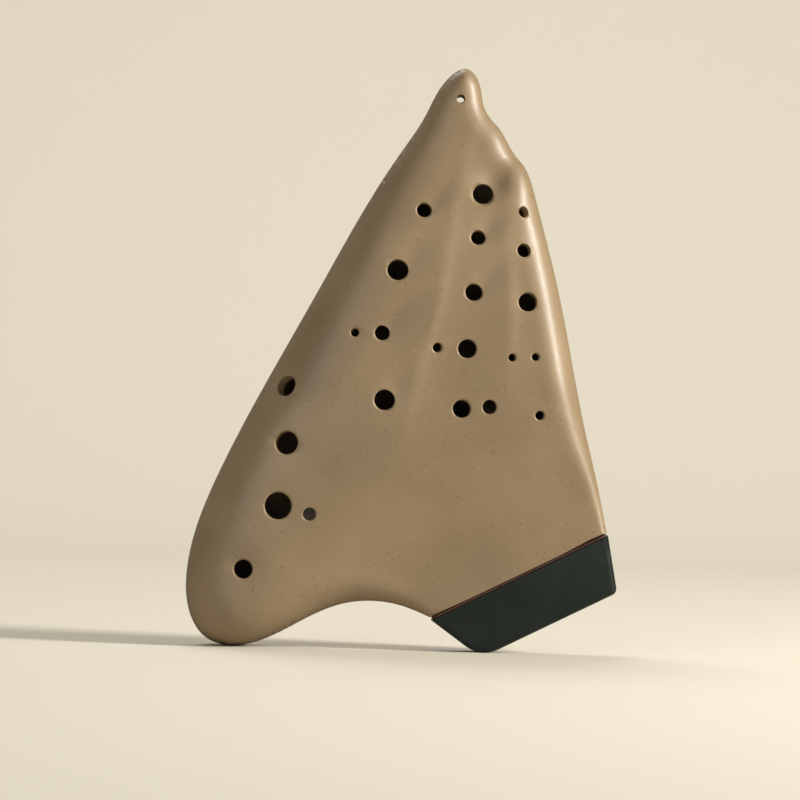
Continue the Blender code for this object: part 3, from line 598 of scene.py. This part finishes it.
# share of the joint line where each air way is centred, its width, its window's length
AIR_WAYS = [(0.215, 12.5, 6.0), (0.545, 12.0, 5.2), (0.840, 9.0, 4.4)]
AIR_WAY_HEIGHT = 1.1
AIR_WAY_LENGTH = 16.0              # from the joint to the window
INSIDE_GAP = 0.7                   # between the clay's inside and the blocks that are the air ways' floors
FLOOR_DEPTH = BACK_JOINT - WALL - INSIDE_GAP
WINDOW_SIDE = 0.2                  # how much wider a window is than its air way, on each side
WINDOW_PAST = 4.0                  # how far a window's cutter stands past the crown
LABIUM = 0.35                      # thickness of the labium's edge
LABIUM_SLOPE = 19.0                # degrees

CEMENT = 0.6
CEMENT_GAP = 0.3
MOUTH_LENGTH = 20.5                # from the cement to the blowing face
MOUTH_JOINT = -(2 * CEMENT_GAP + CEMENT)
MOUTH_END = MOUTH_JOINT - MOUTH_LENGTH
SLOT_DEPTH = 0.25                  # where the slots in the blowing face lie behind the parting plane
SLOT_HEIGHT = 2.4
SLOT_MARGINS = (18.0, 8.5)         # what the slots leave free at the joint line's left and right end
SLOT_PAST = 2.0                    # how far a slot's cutter starts outside the blowing face


def back_base(points):
    return crown(points, BACK_CROWN, BACK_TIP, BACK_JOINT, BACK_JOINT_FLAT)


def back_skin(points):
    return rounded(points, back_base)


def back_inside(points):
    return rounded(points, back_base, WALL)


def back_bores():
    mesh = bmesh.new()
    for x, z, diameter in THUMB_HOLES:
        add_bore(mesh, x, z, diameter, back_skin, back_skin, 1, BORE_DEPTH)
    add_bore(mesh, *CORD_HOLE, level(0), back_skin, 1, BACK_CROWN)
    return to_object("back bores", mesh)


def across_way(along, inward, width, low, high):
    """Four corners of a rectangle across the blowing direction."""
    left = at_joint(along - width / 2, inward)
    right = at_joint(along + width / 2, inward)
    corners = ((left, low), (right, low), (right, high), (left, high))
    return [(x, depth, z) for (x, z), depth in corners]


def air_way(share, width, window):
    """One duct, which narrows through the mouthpiece and runs level under the clay up to its window."""
    slot_place = SLOT_MARGINS[0] + share * (JOINT_LENGTH - sum(SLOT_MARGINS))
    place = share * JOINT_LENGTH
    roof = FLOOR_DEPTH + AIR_WAY_HEIGHT
    mesh = bmesh.new()
    add_tube(mesh, [
        across_way(slot_place, MOUTH_END - SLOT_PAST, width,
                   SLOT_DEPTH - SLOT_HEIGHT / 2, SLOT_DEPTH + SLOT_HEIGHT / 2),
        across_way(place, MOUTH_JOINT / 2, width, FLOOR_DEPTH, roof),
        across_way(place, AIR_WAY_LENGTH + window / 2, width, FLOOR_DEPTH, roof),
    ])
    return to_object("air way", mesh)


def labium_window(share, width, window):
    """The window behind an air way's exit, and the slope from the labium's edge up to the skin."""
    edge = BACK_JOINT - WALL + LABIUM
    above = BACK_CROWN + WINDOW_PAST
    below = FLOOR_DEPTH - AIR_WAY_HEIGHT
    far = AIR_WAY_LENGTH + window
    slope_end = far + (above - edge) / math.tan(math.radians(LABIUM_SLOPE))
    profile = [(AIR_WAY_LENGTH, below), (far, below), (far, edge),
               (slope_end, above), (AIR_WAY_LENGTH, above)]
    sides = []
    for aside in (-width / 2 - WINDOW_SIDE, width / 2 + WINDOW_SIDE):
        places = [(at_joint(share * JOINT_LENGTH + aside, inward), depth) for inward, depth in profile]
        sides.append([(x, depth, z) for (x, z), depth in places])
    mesh = bmesh.new()
    add_tube(mesh, sides)
    return to_object("labium window", mesh)


back_openings = [back_bores(), body_hollow("back hollow", level(HOLLOW_ACROSS), back_inside)]
back_openings += [air_way(*way) for way in AIR_WAYS]
back_openings += [labium_window(*way) for way in AIR_WAYS]
dress_shell("clay_back", "back_shell", level(-SEAM), back_skin, back_openings)


# Walls and air way blocks inside.
# Rougher clay, set in with slip before the halves were closed, so it was never burnished.

# Its colours are the outer clay's made darker: painted shade for the walls and blocks inside the hollow.
SHADED_INNER_CLAY = clay_material("inner clay in painted shade", (0.17, 0.115, 0.06), (0.12, 0.08, 0.042), (0.04, 0.026, 0.015), 0.0)

for node in ("partition_low_mid", "partition_mid_high", "windway_low", "windway_mid", "windway_high"):
    finish_with(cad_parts[node], SHADED_INNER_CLAY)


# Cement line between the clay and the mouthpiece.
# A film of dark red-brown putty, which stayed rough where it was pressed out as the mouthpiece went home.

PUTTY_DARK = (0.03, 0.011, 0.008, 1.0)
PUTTY_RED = (0.13, 0.045, 0.028, 1.0)


def putty_material():
    """Dull putty in two tones of red-brown, with a rough surface."""
    material, shader, nodes, links = new_material("joint putty")
    place = nodes.new("ShaderNodeTexCoord")
    noise = nodes.new("ShaderNodeTexNoise")
    set_inputs(noise, {"Scale": 700.0})
    ramp = nodes.new("ShaderNodeValToRGB")
    ramp.color_ramp.elements[0].color = PUTTY_DARK
    ramp.color_ramp.elements[1].color = PUTTY_RED
    bump = nodes.new("ShaderNodeBump")
    set_inputs(bump, {"Strength": 0.5, "Distance": 0.0003})
    links.new(place.outputs["Object"], noise.inputs["Vector"])
    links.new(noise.outputs["Fac"], ramp.inputs["Fac"])
    links.new(ramp.outputs["Color"], shader.inputs["Base Color"])
    links.new(noise.outputs["Fac"], bump.inputs["Height"])
    links.new(bump.outputs["Normal"], shader.inputs["Normal"])
    set_inputs(shader, {"Roughness": 0.75})
    return material


finish_with(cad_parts["joint_cement"], putty_material())


# Mouthpiece.
# A slip-cast block under a deep black glaze that is a little duller in patches, with the air ways' three
# slots in its blowing face.

MOUTH_LEFT_INSET = 10.6            # how far each side leans in from the joint to the blowing face
MOUTH_RIGHT_INSET = 6.0
MOUTH_LEFT_CORNER = 12.0           # radii of the blowing face's corners
MOUTH_RIGHT_CORNER = 2.5
MOUTH_FRONT = (FRONT_JOINT, 7.0)   # depths at the joint and at the blowing face
MOUTH_BACK = (BACK_JOINT, 7.5)
MOUTH_EDGE = 2.2                   # rounding of the long edges
MOUTH_EDGE_STEPS = 8
LEFT_CORNER_POINTS = 24
RIGHT_CORNER_POINTS = 10
GLAZE_SHARP = 32.0                 # degrees from which an edge is shaded sharp

GLAZE_BLACK = (0.006, 0.010, 0.008, 1.0)
GLAZE_GREEN = (0.016, 0.024, 0.020, 1.0)


def corner_arc(before, corner, after, radius, count):
    """Points of the arc that rounds one corner of a plan outline."""
    to_before = (before - corner) / np.hypot(*(before - corner))
    to_after = (after - corner) / np.hypot(*(after - corner))
    half = math.acos(float(to_before @ to_after)) / 2
    middle = (to_before + to_after) / np.hypot(*(to_before + to_after))
    centre = corner + middle * radius / math.sin(half)
    start = corner + to_before * radius / math.tan(half) - centre
    end = corner + to_after * radius / math.tan(half) - centre
    sweep = math.pi - 2 * half
    steps = np.linspace(0, 1, count)[:, None]
    return centre + (start * np.sin((1 - steps) * sweep) + end * np.sin(steps * sweep)) / math.sin(sweep)


def glaze_material():
    """Glossy black glaze with a green cast, faint waves and patches that shine a little less."""
    material, shader, nodes, links = new_material("black glaze")
    place = nodes.new("ShaderNodeTexCoord")
    waves = nodes.new("ShaderNodeTexNoise")
    set_inputs(waves, {"Scale": 60.0, "Detail": 3.0})
    ramp = nodes.new("ShaderNodeValToRGB")
    ramp.color_ramp.elements[0].color = GLAZE_BLACK
    ramp.color_ramp.elements[1].color = GLAZE_GREEN
    dull = nodes.new("ShaderNodeMapRange")
    set_inputs(dull, {"From Min": 0.35, "From Max": 0.7, "To Min": 0.10, "To Max": 0.30})
    bump = nodes.new("ShaderNodeBump")
    set_inputs(bump, {"Strength": 0.08, "Distance": 0.0004})
    links.new(place.outputs["Object"], waves.inputs["Vector"])
    links.new(waves.outputs["Fac"], ramp.inputs["Fac"])
    links.new(ramp.outputs["Color"], shader.inputs["Base Color"])
    links.new(waves.outputs["Fac"], dull.inputs["Value"])
    links.new(dull.outputs["Result"], shader.inputs["Roughness"])
    links.new(waves.outputs["Fac"], bump.inputs["Height"])
    links.new(bump.outputs["Normal"], shader.inputs["Normal"])
    set_inputs(shader, {"Coat Weight": 0.6, "Coat Roughness": 0.06})
    return material


def into_mouth(points):
    """How far each point lies inward of the joint line; negative towards the lips."""
    return (points - JOINT_LEFT) @ INWARD


def between(depths):
    """A depth that runs evenly from the mouthpiece's joint face to its blowing face."""
    def surface(points):
        share = (into_mouth(points) - MOUTH_JOINT) / (MOUTH_END - MOUTH_JOINT)
        return depths[0] + (depths[1] - depths[0]) * share
    return surface


def rounded_edges(mesh):
    """The block's edges that are rounded: all but those across its depth and those round its joint face."""
    close = 0.01
    chosen = []
    for side in mesh.edges:
        ends = np.array([(vert.co.x, vert.co.z) for vert in side.verts])
        on_joint = into_mouth(ends).min() > MOUTH_JOINT - close
        if np.hypot(*(ends[0] - ends[1])) > close and not on_joint:
            chosen.append(side)
    return chosen


def build_mouthpiece():
    """The block with its rounded corners and edges, cut through by the three air ways."""
    joint_left = at_joint(0.0, MOUTH_JOINT)
    joint_right = at_joint(JOINT_LENGTH, MOUTH_JOINT)
    end_left = at_joint(MOUTH_LEFT_INSET, MOUTH_END)
    end_right = at_joint(JOINT_LENGTH - MOUTH_RIGHT_INSET, MOUTH_END)
    loop = np.concatenate([
        [joint_left, joint_right],
        corner_arc(joint_right, end_right, end_left, MOUTH_RIGHT_CORNER, RIGHT_CORNER_POINTS),
        corner_arc(end_right, end_left, joint_left, MOUTH_LEFT_CORNER, LEFT_CORNER_POINTS),
    ])
    mesh = pillow(loop, np.empty((0, 2)), between(MOUTH_FRONT), between(MOUTH_BACK))
    flat = math.radians(0.5)
    bmesh.ops.dissolve_limit(mesh, angle_limit=flat, verts=mesh.verts, edges=mesh.edges)
    bmesh.ops.bevel(mesh, geom=rounded_edges(mesh), offset=MOUTH_EDGE, segments=MOUTH_EDGE_STEPS,
                    profile=0.5, affect="EDGES")
    shape = to_object("black_mouthpiece", mesh)
    cut_out(shape, [air_way(*way) for way in AIR_WAYS], GLAZE_SHARP)
    finish_with(shape, glaze_material())
    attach(shape, "root")
    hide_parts("mouthpiece")


build_mouthpiece()


# Studio.
# A pale floor that curves up behind, a key lamp from the right, a weak one from the front left, one from
# behind and above, and the camera level with the body. Floor and air are darker as the glaze mirrors them.

FLOOR_FRONT = -3.0
FLOOR_BACK = 0.9
FLOOR_HALF_WIDTH = 4.0
BACKDROP_RADIUS = 0.6
BACKDROP_HEIGHT = 4.0
BACKDROP_STEP = 6                  # degrees
PAPER = (0.68, 0.64, 0.55, 1.0)
PAPER_MIRRORED = (0.12, 0.115, 0.10, 1.0)

LAMP_AIM = (0.0, 0.0, 0.1)
# name, place, width and height, watts, colour
LAMPS = [
    ("key", (1.25, -0.38, 0.62), (0.3, 0.5), 31.0, (1.0, 0.96, 0.88)),
    ("fill", (-0.9, -1.6, 0.5), (0.9, 0.9), 7.0, (1.0, 0.97, 0.92)),
    ("rear", (-0.4, 1.0, 1.6), (1.2, 0.8), 14.0, (1.0, 0.98, 0.95)),
]
AIR = (1.0, 0.96, 0.88, 1.0)
AIR_STRENGTH = 0.30
AIR_STRENGTH_MIRRORED = 0.05

CAMERA_PLACE = (-0.00216, -1.6, 0.09245)
CAMERA_ROLL = 1.535                # degrees
PICTURE_WIDTH = 0.296              # at the parting plane
SENSOR_WIDTH = 36.0                # millimetres
VIEW_END = 20.0


def paper_material():
    """Dull pale paper, darker where a glossy surface mirrors it."""
    material, shader, nodes, links = new_material("studio paper")
    ray = nodes.new("ShaderNodeLightPath")
    tone = nodes.new("ShaderNodeMix")
    tone.data_type = "RGBA"
    set_inputs(tone, {"A": PAPER, "B": PAPER_MIRRORED})
    links.new(ray.outputs["Is Glossy Ray"], tone.inputs["Factor"])
    links.new(tone.outputs["Result"], shader.inputs["Base Color"])
    set_inputs(shader, {"Roughness": 0.9})
    return material


def build_floor():
    """A wide floor under the instrument that sweeps up into a backdrop."""
    profile = [(FLOOR_FRONT, 0.0)]
    for angle in range(0, 91, BACKDROP_STEP):
        turn = math.radians(angle)
        profile.append((FLOOR_BACK + BACKDROP_RADIUS * math.sin(turn),
                        BACKDROP_RADIUS - BACKDROP_RADIUS * math.cos(turn)))
    profile.append((FLOOR_BACK + BACKDROP_RADIUS, BACKDROP_HEIGHT))
    mesh = bmesh.new()
    rows = [[mesh.verts.new((x, y, z)) for x in (-FLOOR_HALF_WIDTH, FLOOR_HALF_WIDTH)] for y, z in profile]
    for low, high in zip(rows, rows[1:]):
        mesh.faces.new((low[0], low[1], high[1], high[0]))
    data = bpy.data.meshes.new("studio floor")
    mesh.to_mesh(data)
    mesh.free()
    data.shade_smooth()
    floor = bpy.data.objects.new("studio_floor", data)
    bpy.context.scene.collection.objects.link(floor)
    finish_with(floor, paper_material())


def add_lamp(name, place, size, watts, colour):
    data = bpy.data.lights.new(name, "AREA")
    data.shape = "RECTANGLE"
    data.size, data.size_y = size
    data.energy = watts
    data.color = colour
    lamp = bpy.data.objects.new(name, data)
    lamp.location = place
    lamp.rotation_euler = (Vector(LAMP_AIM) - Vector(place)).to_track_quat("-Z", "Y").to_euler()
    bpy.context.scene.collection.objects.link(lamp)


def build_air():
    """Even light from all round, weaker where a glossy surface mirrors it."""
    world = bpy.data.worlds.new("studio air")
    world.use_nodes = True
    nodes, links = world.node_tree.nodes, world.node_tree.links
    sky = nodes["Background"]
    set_inputs(sky, {"Color": AIR})
    ray = nodes.new("ShaderNodeLightPath")
    strength = nodes.new("ShaderNodeMapRange")
    set_inputs(strength, {"To Min": AIR_STRENGTH, "To Max": AIR_STRENGTH_MIRRORED})
    links.new(ray.outputs["Is Glossy Ray"], strength.inputs["Value"])
    links.new(strength.outputs["Result"], sky.inputs["Strength"])
    bpy.context.scene.world = world


def build_camera():
    """Looks straight at the finger holes, turned slightly as the picture is."""
    roll = math.radians(CAMERA_ROLL)
    data = bpy.data.cameras.new("portrait camera")
    data.sensor_width = SENSOR_WIDTH
    data.lens = SENSOR_WIDTH * -CAMERA_PLACE[1] / PICTURE_WIDTH
    data.clip_end = VIEW_END
    camera = bpy.data.objects.new("portrait_camera", data)
    right = Vector((math.cos(roll), 0.0, math.sin(roll)))
    up = Vector((-math.sin(roll), 0.0, math.cos(roll)))
    turn = Matrix((right, up, Vector((0.0, -1.0, 0.0)))).transposed().to_4x4()
    camera.matrix_world = Matrix.Translation(CAMERA_PLACE) @ turn
    bpy.context.scene.collection.objects.link(camera)
    bpy.context.scene.camera = camera


build_floor()
for lamp in LAMPS:
    add_lamp(*lamp)
build_air()
build_camera()
bpy.context.scene.view_settings.view_transform = "Standard"
